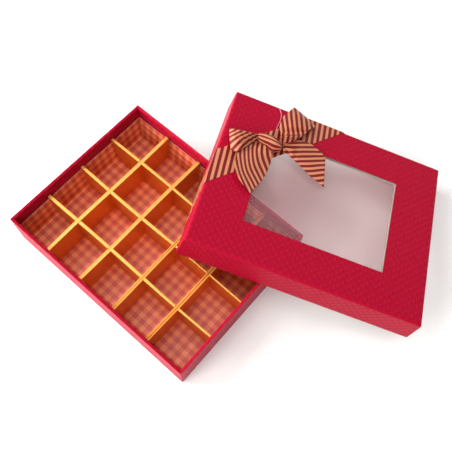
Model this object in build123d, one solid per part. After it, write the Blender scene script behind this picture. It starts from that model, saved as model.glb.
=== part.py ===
from build123d import *
import math
import os

# A rigid set-up box for twenty chocolates. The tray is a folded greyboard blank in embossed
# paper, with a gingham card liner and a lattice of folded gold card. The shallow window lid,
# with its ribbon and bow, is taken off and leans on two rims of the tray, one corner down.
# Millimetres. +Z is up and +X runs along the tray's long side. The origin is the middle of
# the tray's underside, where it stands on the table.

# Driving sizes of the tray
tray_length = 204.0
tray_width = 161.0
tray_height = 45.0
tray_board = 2.0
tray_turn_in = 22.0
tray_under_flap = 16.0

# Paper, tape and sheet thicknesses, and the round of a board's edges under the paper
wrap_paper = 0.35
board_round = 0.5
stay_paper = 0.15
base_paper = 0.4
board_seam = 0.3

# Corner stays: strips of kraft tape round the outside of each corner
stay_leg = 14.0
stay_margin = 2.5

# Liner and lattice
liner_card = 0.5
liner_height = 28.0
liner_play = 0.4
liner_seam = 0.4
cells_long = 5
cells_wide = 4
end_cell_share = 0.948
side_cell_share = 0.913
divider_height = 32.0
long_divider_width = 2.0
short_divider_width = 2.8
divider_card = 0.45
divider_play = 0.3
slot_play = 0.15

# Driving sizes of the lid
lid_depth = 27.5
lid_play = 0.4
lid_board = 2.0
lid_turn_in = 16.0
window_length = 128.0
window_width = 96.0
film_thickness = 0.3
film_overlap = 9.0
tape_thickness = 0.15
tape_width = 6.0
lining_paper = 0.3
lining_margin = 1.5

# How the lid leans on the tray: where its left and near walls cross the tray's rims,
# as shares of the tray's length and width, and the turn of the lid between those places
left_rest_share = 0.477
near_rest_share = 0.649
lean_turn = 37.7
rest_gap = 0.25

# Ribbon and bow
ribbon_width = 26.0
ribbon_thickness = 0.4
band_corner_leg = 91.0
band_tuck = 13.0
bow_place_share = 0.465
knot_length = 25.0
knot_width = 13.0
knot_height = 10.0
knot_pleats = 8
pleat_share = 0.9
loop_height = 11.0
left_loop_reach = 38.2
left_loop_heading = 198.0
right_loop_reach = 46.3
right_loop_heading = 60.0
left_tail_reach = 59.0
left_tail_heading = 256.5
right_tail_reach = 62.0
right_tail_heading = -28.0
tail_lift = 3.0
tail_bend = 20.0
thread_diameter = 0.6
thread_sides = 6
arc_share = 0.45

# One overrun for all cuts
over = 5.0

lid_wall = lid_board + 2 * wrap_paper
tray_wall = tray_board + 2 * wrap_paper
lid_length = tray_length + 2 * (lid_play + lid_wall)
lid_width = tray_width + 2 * (lid_play + lid_wall)
STANDING = (Align.CENTER, Align.CENTER, Align.MIN)


def block(x_size, y_size, low, high):
    """A block centred on the Z axis between two heights."""
    return Pos(0, 0, low) * Box(x_size, y_size, high - low, align=STANDING)


def upright_block(x_size, y_size, low, high, radius):
    """A block centred on the Z axis whose upright edges are rounded."""
    outline = Pos(0, 0, low) * RectangleRounded(x_size, y_size, radius)
    return extrude(outline, amount=high - low)


def pillow_block(x_size, y_size, low, high, radius):
    """A block whose edges are all rounded, as paper lies over folded board."""
    return fillet(block(x_size, y_size, low, high).edges(), radius)


def span(x_low, x_high, y_low, y_high, z_low, z_high):
    """A block between its lowest and highest corners."""
    sizes = (x_high - x_low, y_high - y_low, z_high - z_low)
    middle = ((x_low + x_high) / 2, (y_low + y_high) / 2, (z_low + z_high) / 2)
    return Pos(*middle) * Box(*sizes)


def folded_board(length, width, height, board):
    """A blank scored and folded up: a floor and four walls that meet in open corner seams."""
    body = block(length, width, 0, board)
    wall_width = width - 2 * board - 2 * board_seam
    for side in (-1, 1):
        wall_y = side * (width - board) / 2
        wall_x = side * (length - board) / 2
        body += Pos(0, wall_y, 0) * block(length, board, 0, height)
        body += Pos(wall_x, 0, 0) * block(board, wall_width, 0, height)
    return body & upright_block(length, width, 0, height, board_round)


def corner_stays(length, width, height):
    """Four strips of tape, each folded round the outside of one corner of the board."""
    paper = stay_paper
    low, high = stay_margin, height - stay_margin
    ring = upright_block(length + 2 * paper, width + 2 * paper, low, high, board_round + paper)
    ring -= upright_block(length, width, 0, height, board_round)
    stays = []
    for x_side in (-1, 1):
        for y_side in (-1, 1):
            corner = Pos(x_side * length / 2, y_side * width / 2, 0)
            stays.append(ring & (corner * block(2 * stay_leg, 2 * stay_leg, 0, height)))
    return stays


def paper_wrap(length, width, height, board, turn_in, opening_length, opening_width):
    """The embossed sheet round a folded board: closed side down, over the rim and turned in."""
    paper = wrap_paper
    wall = board + 2 * paper
    skin = pillow_block(length, width, 0, height, board_round + paper)
    skin -= upright_block(length - 2 * paper, width - 2 * paper, paper, height - paper, board_round)
    skin -= block(length - 2 * wall, width - 2 * wall, height / 2, height + over)
    skin -= block(opening_length, opening_width, -over, height / 2)
    sleeve_length = length - 2 * (wall - paper)
    sleeve_width = width - 2 * (wall - paper)
    sleeve = block(sleeve_length, sleeve_width, height - turn_in, height)
    sleeve -= block(length - 2 * wall, width - 2 * wall, 0, height + over)
    return skin + sleeve


# The tray: the base sheet is glued on last, over the paper that is turned under
tray_under = base_paper
board_low = tray_under + wrap_paper
tray_board_length = tray_length - 2 * wrap_paper
tray_board_width = tray_width - 2 * wrap_paper
tray_board_height = tray_height - board_low - wrap_paper

tray_board_body = Pos(0, 0, board_low) * folded_board(
    tray_board_length, tray_board_width, tray_board_height, tray_board
)
tray_stays = [
    Pos(0, 0, board_low) * stay
    for stay in corner_stays(tray_board_length, tray_board_width, tray_board_height)
]
tray_wrap_body = Pos(0, 0, tray_under) * paper_wrap(
    tray_length,
    tray_width,
    tray_height - tray_under,
    tray_board,
    tray_turn_in,
    tray_length - 2 * tray_under_flap,
    tray_width - 2 * tray_under_flap,
)
for stay in tray_stays:
    tray_wrap_body -= stay

base_margin = tray_board
base_sheet = block(tray_length - 2 * base_margin, tray_width - 2 * base_margin, 0, base_paper)
base_sheet += block(
    tray_length - 2 * tray_under_flap, tray_width - 2 * tray_under_flap, 0, board_low
)

# The liner: a card floor with four flaps folded up, open at the corner seams
floor_top = board_low + tray_board
liner_length = tray_length - 2 * tray_wall - 2 * liner_play
liner_width = tray_width - 2 * tray_wall - 2 * liner_play
liner_floor = floor_top + liner_card
liner_top = floor_top + liner_height

liner = block(liner_length, liner_width, floor_top, liner_floor)
end_flap_width = liner_width - 2 * liner_card - 2 * liner_seam
for side in (-1, 1):
    flap_y = side * (liner_width - liner_card) / 2
    flap_x = side * (liner_length - liner_card) / 2
    liner += Pos(0, flap_y, 0) * block(liner_length, liner_card, floor_top, liner_top)
    liner += Pos(flap_x, 0, 0) * block(liner_card, end_flap_width, floor_top, liner_top)

# The lattice: strips of gold card folded double over their top edge and slotted together.
# The long strips are slotted from above and the short ones from below, at half height.
inner_length = liner_length - 2 * liner_card
inner_width = liner_width - 2 * liner_card
cell_long = inner_length / (cells_long - 2 + 2 * end_cell_share)
cell_wide = inner_width / (cells_wide - 2 + 2 * side_cell_share)
slot_middle = divider_height / 2


def folded_strip(length, width):
    """A double wall of card along X, closed by a round fold at the top and open below."""
    fold = width / 2
    inner_fold = fold - divider_card
    shoulder = divider_height - fold
    outer = Pos(0, shoulder / 2) * Rectangle(width, shoulder)
    outer += Pos(0, shoulder) * Circle(fold)
    inner = Pos(0, shoulder / 2) * Rectangle(2 * inner_fold, shoulder)
    inner += Pos(0, shoulder) * Circle(inner_fold)
    profile = Plane.YZ * (outer - inner)
    return Pos(-length / 2, 0, 0) * extrude(profile, amount=length, dir=(1, 0, 0))


def slotted(strip, places, crossing_width, low, high):
    """Cuts one slot at each place along the strip, wide enough for the strip that crosses."""
    half = crossing_width / 2 + slot_play
    deep = long_divider_width + short_divider_width
    for place in places:
        strip -= span(place - half, place + half, -deep, deep, low, high)
    return strip


cross_places_long = [
    (index - cells_long / 2) * cell_long for index in range(1, cells_long)
]
cross_places_wide = [
    (index - cells_wide / 2) * cell_wide for index in range(1, cells_wide)
]
long_strip = slotted(
    folded_strip(inner_length - 2 * divider_play, long_divider_width),
    cross_places_long,
    short_divider_width,
    slot_middle - slot_play,
    divider_height + over,
)
short_strip = slotted(
    folded_strip(inner_width - 2 * divider_play, short_divider_width),
    cross_places_wide,
    long_divider_width,
    -over,
    slot_middle + slot_play,
)
long_dividers = [Pos(0, place, liner_floor) * long_strip for place in cross_places_wide]
short_dividers = [
    Pos(place, 0, liner_floor) * Rot(0, 0, 90) * short_strip for place in cross_places_long
]

# The lid, made level with its rim at height 0 and its top at lid_depth. The shared shapes
# stand closed side down, so the lid's are turned over about X.
lid_board_length = lid_length - 2 * wrap_paper
lid_board_width = lid_width - 2 * wrap_paper
lid_board_depth = lid_depth - 2 * wrap_paper
turned_over = Pos(0, 0, lid_depth) * Rot(180, 0, 0)
lid_board_top = lid_depth - wrap_paper
lid_board_under = lid_board_top - lid_board

window_cut = block(window_length, window_width, 0, lid_depth + over)
lid_board_body = turned_over * Pos(0, 0, wrap_paper) * folded_board(
    lid_board_length, lid_board_width, lid_board_depth, lid_board
)
lid_board_body -= window_cut
lid_stays = [
    turned_over * Pos(0, 0, wrap_paper) * stay
    for stay in corner_stays(lid_board_length, lid_board_width, lid_board_depth)
]
lid_wrap_body = turned_over * paper_wrap(
    lid_length, lid_width, lid_depth, lid_board, lid_turn_in, window_length, window_width
)
for stay in lid_stays:
    lid_wrap_body -= stay

# The window: strips of double-sided tape under the board hold a clear film, and a plain
# sheet with the same opening lines the lid below it
film_length = window_length + 2 * film_overlap
film_width = window_width + 2 * film_overlap
tape_under = lid_board_under - tape_thickness
film_under = tape_under - film_thickness
lining_under = film_under - lining_paper
tape_offset_x = (window_length + film_overlap) / 2
tape_offset_y = (window_width + film_overlap) / 2
tape_end = window_width + film_overlap - tape_width
tape_strips = []
for side in (-1, 1):
    long_tape = block(film_length, tape_width, tape_under, lid_board_under)
    end_tape = block(tape_width, tape_end, tape_under, lid_board_under)
    tape_strips.append(Pos(0, side * tape_offset_y, 0) * long_tape)
    tape_strips.append(Pos(side * tape_offset_x, 0, 0) * end_tape)
window_film = block(film_length, film_width, film_under, tape_under)

lid_inner_length = lid_length - 2 * lid_wall
lid_inner_width = lid_width - 2 * lid_wall
lining_length = lid_inner_length - 2 * lining_margin
lining_width = lid_inner_width - 2 * lining_margin
lid_lining = block(lining_length, lining_width, lining_under, film_under) - window_cut

# The ribbon band lies straight over the lid's far left corner, at 45 degrees to both
# edges, goes down both walls, round the rim and a little way up inside. On a wall it
# keeps its slant, so that it would lie straight if the lid were opened out flat.
slant_width = ribbon_width * math.sqrt(2)
half_length = lid_length / 2
half_width = lid_width / 2


def slanted_run(start, drop, low, high):
    """Four corners of a band's run down a wall: across by as much as it goes down."""
    half = slant_width / 2
    near, far = start - half, start + half
    return [(near, high), (far, high), (far + drop, low), (near + drop, low)]


def wall_band(edge_half, start):
    """The band's runs on a wall that faces -Y at edge_half, with X as its length."""
    thick = ribbon_thickness
    top = lid_depth + thick
    face = Plane.XZ.offset(edge_half)
    outside = face * make_face(Polyline(*slanted_run(start, lid_depth, 0, top), close=True))
    run = extrude(outside, amount=thick, dir=(0, -1, 0))
    rim_start = start + lid_depth
    rim_corners = [
        (rim_start - slant_width / 2, -edge_half - thick),
        (rim_start + slant_width / 2, -edge_half - thick),
        (rim_start + slant_width / 2 + lid_wall, -edge_half + lid_wall + thick),
        (rim_start - slant_width / 2 + lid_wall, -edge_half + lid_wall + thick),
    ]
    rim = extrude(make_face(Polyline(*rim_corners, close=True)), amount=thick, dir=(0, 0, -1))
    inside_start = rim_start + lid_wall
    corners = [
        (inside_start - slant_width / 2, -thick),
        (inside_start + slant_width / 2, -thick),
        (inside_start + slant_width / 2 + band_tuck, band_tuck),
        (inside_start - slant_width / 2 + band_tuck, band_tuck),
    ]
    inner_face = Plane.XZ.offset(edge_half - lid_wall)
    inside = inner_face * make_face(Polyline(*corners, close=True))
    return run + rim + extrude(inside, amount=thick, dir=(0, 1, 0))


top_corners = [
    (-half_length - ribbon_thickness, half_width - band_corner_leg - slant_width / 2),
    (-half_length - ribbon_thickness, half_width - band_corner_leg + slant_width / 2),
    (-half_length + band_corner_leg - slant_width / 2, half_width + ribbon_thickness),
    (-half_length + band_corner_leg + slant_width / 2, half_width + ribbon_thickness),
]
top_run = Pos(0, 0, lid_depth) * extrude(
    make_face(Polyline(*top_corners, close=True)), amount=ribbon_thickness
)
left_run = Rot(0, 0, -90) * wall_band(half_length, band_corner_leg - half_width)
far_run = mirror(wall_band(half_width, band_corner_leg - half_length), about=Plane.XZ)
ribbon_band = top_run + left_run + far_run

# The bow is tied where the band crosses the corner. Each piece of ribbon is a side
# profile drawn across the bow and trimmed to its outline as seen from above. Outlines
# are shares of the ribbon's width, counted from the middle of the knot.
knot_x = -half_length + bow_place_share * band_corner_leg
knot_y = half_width - (1 - bow_place_share) * band_corner_leg
bow_base = lid_depth + ribbon_thickness

left_loop_outline_shares = [
    (-0.40, -0.22), (-0.62, -0.40), (-1.35, -0.96), (-1.62, -0.11), (-0.93, 0.03), (-0.42, 0.14),
]
right_loop_outline_shares = [
    (0.30, 0.22), (0.42, 0.10), (0.77, 0.30), (1.20, 0.82), (1.45, 1.32), (0.54, 1.90),
    (0.19, 1.09), (0.16, 0.72), (0.25, 0.43),
]
left_tail_outline_shares = [
    (-0.02, -0.24), (0.07, -0.45), (0.20, -0.78), (-0.15, -2.18), (-1.02, -1.39),
    (-0.94, -1.04), (-0.48, -0.50), (-0.26, -0.24),
]
right_tail_outline_shares = [
    (0.48, 0.02), (0.68, -0.32), (2.20, -0.91), (1.99, 0.36), (1.38, 0.50), (0.73, 0.27),
]
tail_height_shares = [1.4, 1.5, 0.3, 1.0, 0.25]
knot_station_shares = [
    (-1.0, 0.32), (-0.8, 0.66), (-0.45, 0.93), (0.0, 1.0), (0.45, 0.93), (0.8, 0.66), (1.0, 0.32),
]


def outline_prism(shares):
    """A tall prism over an outline that is given as shares of the ribbon's width."""
    points = [(ribbon_width * x, ribbon_width * y) for x, y in shares]
    return extrude(make_face(Polyline(*points, close=True)), amount=3 * loop_height)


def bow_loop(outline, heading, reach):
    """A loop of ribbon that swells from the knot and turns back at its outer end."""
    rings = []
    for inset in (0, ribbon_thickness):
        neck = Pos(0, loop_height / 4) * Circle(2 * ribbon_thickness - inset)
        swell = Pos(reach / 2, loop_height / 2) * Circle(loop_height / 2 - inset)
        end = Pos(reach - loop_height / 4, loop_height / 4) * Circle(loop_height / 4 - inset)
        edges = neck.edges() + swell.edges() + end.edges()
        rings.append(make_hull(edges))
    ring = Plane.XZ * (rings[0] - rings[1])
    tube = extrude(ring, amount=2 * ribbon_width, both=True)
    return (Rot(0, 0, heading) * tube) & outline_prism(outline)


def bow_tail(outline, heading, reach):
    """A tail of ribbon that leaves the knot, dips to the lid and ends in a slanted cut."""
    step = reach / (len(tail_height_shares) - 1)
    places = [(index * step, tail_lift * share) for index, share in enumerate(tail_height_shares)]
    lower = FilletPolyline(*places, radius=tail_bend)
    upper = Pos(0, ribbon_thickness) * lower
    ends = Line(lower @ 0, upper @ 0) + Line(lower @ 1, upper @ 1)
    strip = extrude(Plane.XZ * make_face(lower + upper + ends), amount=2 * ribbon_width, both=True)
    return (Rot(0, 0, heading) * strip) & outline_prism(outline)


def bow_knot():
    """The middle of the bow: a puffed and pleated fold of ribbon, pinched at each end."""
    sections = []
    for place_share, size_share in knot_station_shares:
        station = Plane.YZ.offset(place_share * knot_length / 2) * Pos(0, knot_height / 2)
        corners = []
        for index in range(2 * knot_pleats):
            angle = math.pi * index / knot_pleats
            depth_share = size_share * (pleat_share if index % 2 else 1)
            across = depth_share * knot_width / 2 * math.cos(angle)
            corners.append((across, depth_share * knot_height / 2 * math.sin(angle)))
        sections.append(station * make_face(Polyline(*corners, close=True)))
    return loft(sections, ruled=True)


def thread_ring(place, half_across, half_high):
    """One turn of the tie thread round the knot's neck."""
    thick = thread_diameter
    station = Plane.YZ.offset(place) * Pos(0, knot_height / 2)
    turn = Ellipse(half_across + thick, half_high + thick) - Ellipse(half_across, half_high)
    return extrude(station * turn, amount=thick)


knot = bow_knot()
left_loop = bow_loop(left_loop_outline_shares, left_loop_heading, left_loop_reach) - knot
right_loop = bow_loop(right_loop_outline_shares, right_loop_heading, right_loop_reach) - knot
left_tail = bow_tail(left_tail_outline_shares, left_tail_heading, left_tail_reach)
left_tail = left_tail - knot - left_loop - right_loop
right_tail = bow_tail(right_tail_outline_shares, right_tail_heading, right_tail_reach)
right_tail = right_tail - knot - left_loop - right_loop
neck_share = knot_station_shares[0][1]
tie_thread = thread_ring(
    -knot_length / 2 - thread_diameter, neck_share * knot_width / 2, neck_share * knot_height / 2
)
place_bow = Pos(knot_x, knot_y, bow_base)

# The free end of the tie thread lies behind the knot, over the lid's top. Its points stay
# as chosen, from the middle of the knot, in millimetres.
thread_route = [
    (2.6, 6.9, 5.0), (3.0, 10.6, 3.0), (3.6, 15.4, 0.9), (3.5, 21.0, 0.6), (3.9, 27.0, 0.5),
    (4.8, 33.0, 0.8), (4.4, 38.5, 1.3), (2.2, 43.4, 1.7), (-0.6, 47.2, 1.6),
]


def lean_of_lid():
    """Where the lid lies: its left and near walls rest on two rims and one corner is down.

    The two resting places and the lid's near left inner corner make a right angle, because
    they lie on two walls of the lid. The tilt then brings the far right corner down to the
    table, as far as the rims are high.
    """
    rim = tray_height + rest_gap
    left_rest = Vector((left_rest_share - 0.5) * tray_length, tray_width / 2, rim)
    near_rest = Vector(tray_length / 2, (near_rest_share - 0.5) * tray_width, rim)
    line = near_rest - left_rest
    apart = line.length
    along = line.normalized()
    turn = math.radians(lean_turn)
    to_far_corner = (
        (lid_length - lid_wall) * math.cos(turn)
        + (lid_width - lid_wall) * math.sin(turn)
        - apart * math.cos(turn) * math.sin(turn)
    )
    tilt = math.asin(tray_height / to_far_corner)
    down = Vector(-along.Y * math.cos(tilt), along.X * math.cos(tilt), -math.sin(tilt))
    lid_x = along * math.sin(turn) + down * math.cos(turn)
    lid_y = down * math.sin(turn) - along * math.cos(turn)
    corner = left_rest + (along * math.cos(turn) - down * math.sin(turn)) * apart * math.cos(turn)
    middle = corner + lid_x * (half_length - lid_wall) + lid_y * (half_width - lid_wall)
    return Plane(origin=middle, x_dir=lid_x, z_dir=lid_x.cross(lid_y)).location


lid_place = lean_of_lid()


def cord_tube(points, diameter):
    """A tube along straight runs joined by tangent arcs as large as the runs allow."""
    places = [Vector(*point) for point in points]
    runs = [after - before for before, after in zip(places, places[1:])]
    radii = []
    for before, after in zip(runs, runs[1:]):
        half_turn = math.radians(before.get_angle(after)) / 2
        radii.append(arc_share * min(before.length, after.length) / math.tan(half_turn))
    path = FilletPolyline(*places, radius=radii)
    start = Plane(origin=places[0], z_dir=runs[0])
    section = start * RegularPolygon(diameter / 2, thread_sides)
    tube = sweep(section, path=path)
    swept_share = tube.volume / section.area / path.length
    print("thread radii", [round(radius, 1) for radius in radii])
    print("thread length", round(path.length, 2), "volume share", round(swept_share, 3))
    return tube


thread_end = cord_tube(thread_route, thread_diameter)

# Every piece under its own name
on_tray = {
    "tray_board": tray_board_body,
    "tray_corner_stays": Compound(tray_stays),
    "tray_wrap": tray_wrap_body,
    "tray_base_sheet": base_sheet,
    "gingham_liner": liner,
}
for number, divider in enumerate(long_dividers, start=1):
    on_tray[f"long_divider_{number}"] = divider
for number, divider in enumerate(short_dividers, start=1):
    on_tray[f"short_divider_{number}"] = divider

on_lid = {
    "lid_board": lid_board_body,
    "lid_corner_stays": Compound(lid_stays),
    "lid_wrap": lid_wrap_body,
    "window_film": window_film,
    "film_tape": Compound(tape_strips),
    "lid_lining": lid_lining,
    "ribbon_band": ribbon_band,
    "bow_knot": place_bow * knot,
    "bow_loop_left": place_bow * left_loop,
    "bow_loop_right": place_bow * right_loop,
    "bow_tail_left": place_bow * left_tail,
    "bow_tail_right": place_bow * right_tail,
    "bow_tie_thread": place_bow * tie_thread,
    "bow_thread_end": place_bow * thread_end,
}

os.makedirs("parts", exist_ok=True)
for name, shape in on_tray.items():
    export_step(shape, f"parts/{name}.step")
for name, shape in on_lid.items():
    export_step(lid_place * shape, f"parts/{name}.step")
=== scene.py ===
import math

import bpy
import numpy as np
from mathutils import Matrix, Vector


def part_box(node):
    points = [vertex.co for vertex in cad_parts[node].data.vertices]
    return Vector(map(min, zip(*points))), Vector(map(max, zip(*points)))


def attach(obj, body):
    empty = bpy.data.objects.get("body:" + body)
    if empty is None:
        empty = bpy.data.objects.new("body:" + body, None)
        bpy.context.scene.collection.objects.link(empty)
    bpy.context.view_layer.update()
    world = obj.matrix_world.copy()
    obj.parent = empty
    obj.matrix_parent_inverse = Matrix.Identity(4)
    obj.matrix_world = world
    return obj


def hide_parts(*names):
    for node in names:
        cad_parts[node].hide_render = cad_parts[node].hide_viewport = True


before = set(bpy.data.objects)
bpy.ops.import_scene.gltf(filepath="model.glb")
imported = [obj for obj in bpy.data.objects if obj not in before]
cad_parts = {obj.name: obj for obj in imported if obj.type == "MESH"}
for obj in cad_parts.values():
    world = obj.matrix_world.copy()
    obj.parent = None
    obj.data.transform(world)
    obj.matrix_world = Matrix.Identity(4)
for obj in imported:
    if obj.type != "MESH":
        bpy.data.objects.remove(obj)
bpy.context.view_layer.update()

# Greyboard, the stiff core of tray and lid: waste paper pressed into a solid board, then
# scored, folded up and left uncoated. Only its cut edge shows, round the window. The tray's
# rim is pressed down a little towards the inside.
board_colour = "A39A8D"
board_fleck_colour = "7E766B"
board_fibre = 0.9
board_roughness = 0.92
board_relief = 0.03
board_thickness = 2.0
rim_slope = 0.9
fold_radius = 0.8
inner_fold_radius = 0.5
corner_radius = 0.6
corner_steps = 4
fold_steps = 5


def linear(code, alpha=1.0):
    """Turns an sRGB hex colour into the linear values that a shader takes."""
    channels = [int(code[place:place + 2], 16) / 255 for place in (0, 2, 4)]
    return [c / 12.92 if c <= 0.04045 else ((c + 0.055) / 1.055) ** 2.4 for c in channels] + [alpha]


def node(tree, kind, inputs=None, **settings):
    """Adds a node with its settings. An input is a value, or the socket that feeds it."""
    made = tree.nodes.new(kind)
    for name, value in settings.items():
        setattr(made, name, value)
    for key, value in (inputs or {}).items():
        if isinstance(value, bpy.types.NodeSocket):
            tree.links.new(value, made.inputs[key])
        else:
            made.inputs[key].default_value = value
    return made


def new_material(name):
    """An empty material with its node tree."""
    material = bpy.data.materials.new(name)
    material.use_nodes = True
    material.node_tree.nodes.clear()
    return material, material.node_tree


def in_millimetres(tree):
    """The surface's own place in the frame, in millimetres."""
    place = node(tree, "ShaderNodeTexCoord").outputs["Object"]
    return node(
        tree, "ShaderNodeVectorMath", {0: place, "Scale": 1000.0}, operation="SCALE"
    ).outputs["Vector"]


def greyboard():
    """Uncoated board: dull, with short fibres and darker flecks of old print in it.

    The real fibres are about 0.1 mm across. They are drawn coarser so that they show.
    """
    material, tree = new_material("uncoated_greyboard")
    place = in_millimetres(tree)
    fibres = node(tree, "ShaderNodeTexNoise", {"Vector": place, "Scale": 1 / board_fibre, "Detail": 4.0})
    colour = node(
        tree,
        "ShaderNodeMix",
        {"Factor": fibres.outputs["Fac"], "A": linear(board_fleck_colour), "B": linear(board_colour)},
        data_type="RGBA",
    )
    relief = node(
        tree,
        "ShaderNodeBump",
        {"Height": fibres.outputs["Fac"], "Distance": board_relief / 1000},
    )
    shader = node(
        tree,
        "ShaderNodeBsdfPrincipled",
        {
            "Base Color": colour.outputs["Result"],
            "Roughness": board_roughness,
            "Normal": relief.outputs["Normal"],
        },
    )
    node(tree, "ShaderNodeOutputMaterial", {"Surface": shader.outputs["BSDF"]})
    return material


def dress(names, material):
    """Gives the frame's own pieces their finish."""
    for name in names:
        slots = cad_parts[name].data.materials
        slots.clear()
        slots.append(material)


def make_piece(name, body, place, points, faces, materials, uv_name=None, uv=None, sharp=30.0):
    """Adds a mesh made from points in millimetres, set in its place in the frame."""
    mesh = bpy.data.meshes.new(name)
    mesh.from_pydata([place @ Vector(point) for point in points], [], faces)
    if uv_name:
        layer = mesh.uv_layers.new(name=uv_name)
        flat = [pair for face_pairs in uv for pair in face_pairs]
        for corner, pair in zip(layer.data, flat):
            corner.uv = pair
    for material in materials:
        mesh.materials.append(material)
    mesh.shade_smooth()
    mesh.set_sharp_from_angle(angle=math.radians(sharp))
    piece = bpy.data.objects.new(name, mesh)
    bpy.context.scene.collection.objects.link(piece)
    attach(piece, body)
    return piece


def rounded_path(corners, radius, steps=fold_steps):
    """Points along straight runs, with each bend rounded."""
    path = [Vector(corners[0])]
    for before, here, after in zip(corners, corners[1:], corners[2:]):
        before, here, after = Vector(before), Vector(here), Vector(after)
        start = here + (before - here).normalized() * radius
        end = here + (after - here).normalized() * radius
        for step in range(steps + 1):
            t = step / steps
            path.append((1 - t) ** 2 * start + 2 * t * (1 - t) * here + t * t * end)
    path.append(Vector(corners[-1]))
    return path


def box_ring(half_length, half_width, radius, height):
    """One level ring round a box, with its corners rounded, and the side each edge is on."""
    ring, sides = [], []
    for quarter, (x_side, y_side) in enumerate(((1, 1), (-1, 1), (-1, -1), (1, -1))):
        middle = Vector((x_side * (half_length - radius), y_side * (half_width - radius), height))
        for step in range(corner_steps + 1):
            angle = math.radians(90 * (quarter + step / corner_steps))
            ring.append(middle + radius * Vector((math.cos(angle), math.sin(angle), 0)))
            sides.append((quarter + (step >= corner_steps / 2)) % 4)
    return ring, sides


def wrap_shell(length, width, profile):
    """Rings round a box, one for each (inset, height) of the profile, and the run up to each."""
    points, reaches = [], []
    walked = -profile[0][0]
    before = Vector(profile[0])
    for inset, height in profile:
        walked += (Vector((inset, height)) - before).length
        before = Vector((inset, height))
        radius = max(corner_radius - max(inset, 0), inner_fold_radius / 2)
        ring, sides = box_ring(length / 2 - inset, width / 2 - inset, radius, height)
        points += ring
        reaches.append(walked)
    return points, sides, reaches


def ring_faces(rings, count, closed):
    """Faces between rings, one after the other, closed into a loop or capped at both ends."""
    faces = []
    for level in range(rings if closed else rings - 1):
        low, high = level * count, (level + 1) % rings * count
        faces += [(low + k, low + (k + 1) % count, high + (k + 1) % count, high + k) for k in range(count)]
    if not closed:
        faces += [tuple(reversed(range(count))), tuple(range((rings - 1) * count, rings * count))]
    return faces


board_finish = greyboard()
tray_place = Matrix.Scale(0.001, 4)
tray_low, tray_high = [corner * 1000 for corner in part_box("tray_wrap")]
inner_low, inner_high = [corner * 1000 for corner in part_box("tray_board")]
tray_length, tray_width, tray_height = tray_high.x * 2, tray_high.y * 2, tray_high.z
paper_gap = tray_length / 2 - inner_high.x
wall = board_thickness + 2 * paper_gap
board_inside = paper_gap + board_thickness
board_profile = rounded_path(
    [
        (2 * board_inside, inner_low.z),
        (paper_gap, inner_low.z),
        (paper_gap, inner_high.z),
        (board_inside, inner_high.z - rim_slope),
        (board_inside, inner_low.z + board_thickness),
        (2 * board_inside, inner_low.z + board_thickness),
    ],
    inner_fold_radius,
)
board_points, board_sides, _ = wrap_shell(tray_length, tray_width, board_profile)
board_faces = ring_faces(len(board_profile), len(board_sides), False)
tray_board = make_piece("tray_greyboard", "tray", tray_place, board_points, board_faces, [board_finish])
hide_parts("tray_board")

# Corner stays: strips of gummed kraft paper, folded round the board's corners before it is
# wrapped. They hide under the wrap.
kraft_colour = "B98F5E"
kraft_fibre = 0.7
kraft_roughness = 0.85


def uncoated_paper(name, colour, fibre, detail, roughness):
    """A plain paper of one colour: matt, with the tooth of its fibres, drawn coarser to show."""
    material, tree = new_material(name)
    place = in_millimetres(tree)
    fibres = node(tree, "ShaderNodeTexNoise", {"Vector": place, "Scale": 1 / fibre, "Detail": detail})
    relief = node(
        tree,
        "ShaderNodeBump",
        {"Height": fibres.outputs["Fac"], "Distance": board_relief / 1000},
    )
    shader = node(
        tree,
        "ShaderNodeBsdfPrincipled",
        {"Base Color": linear(colour), "Roughness": roughness, "Normal": relief.outputs["Normal"]},
    )
    node(tree, "ShaderNodeOutputMaterial", {"Surface": shader.outputs["BSDF"]})
    return material


# Kraft paper is brown and matt, with short fibres that show as a tooth.
kraft_paper = uncoated_paper("kraft_paper", kraft_colour, kraft_fibre, 3.0, kraft_roughness)
dress(["tray_corner_stays", "lid_corner_stays"], kraft_paper)

# The tray's wrap: one sheet of pearl-finished paper, embossed in a basket weave, glued round
# the folded board, over the rim and turned in. Its folds are tight but never knife sharp.
paper_colour = "A80B2E"
paper_deep_colour = "96061E"
# The tops of the embossed dots are painted a paler pink: a painted highlight for the light they catch.
dot_highlight_colour = "BC3050"
paper_roughness = 0.5
paper_shine = 0.19
paper_shine_tint = "FF7C9C"
emboss_pitch = 5.0
emboss_depth = 0.25
paper_speck = 1.3
speck_share = 1.2
dot_highlight_from = 0.45
dot_highlight_most = 0.16
wrap_thickness = 0.18
# A wave texture of scale 1 repeats every tau / 20, so this over a pitch is the scale for it.
wave_period = math.tau / 20


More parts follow.
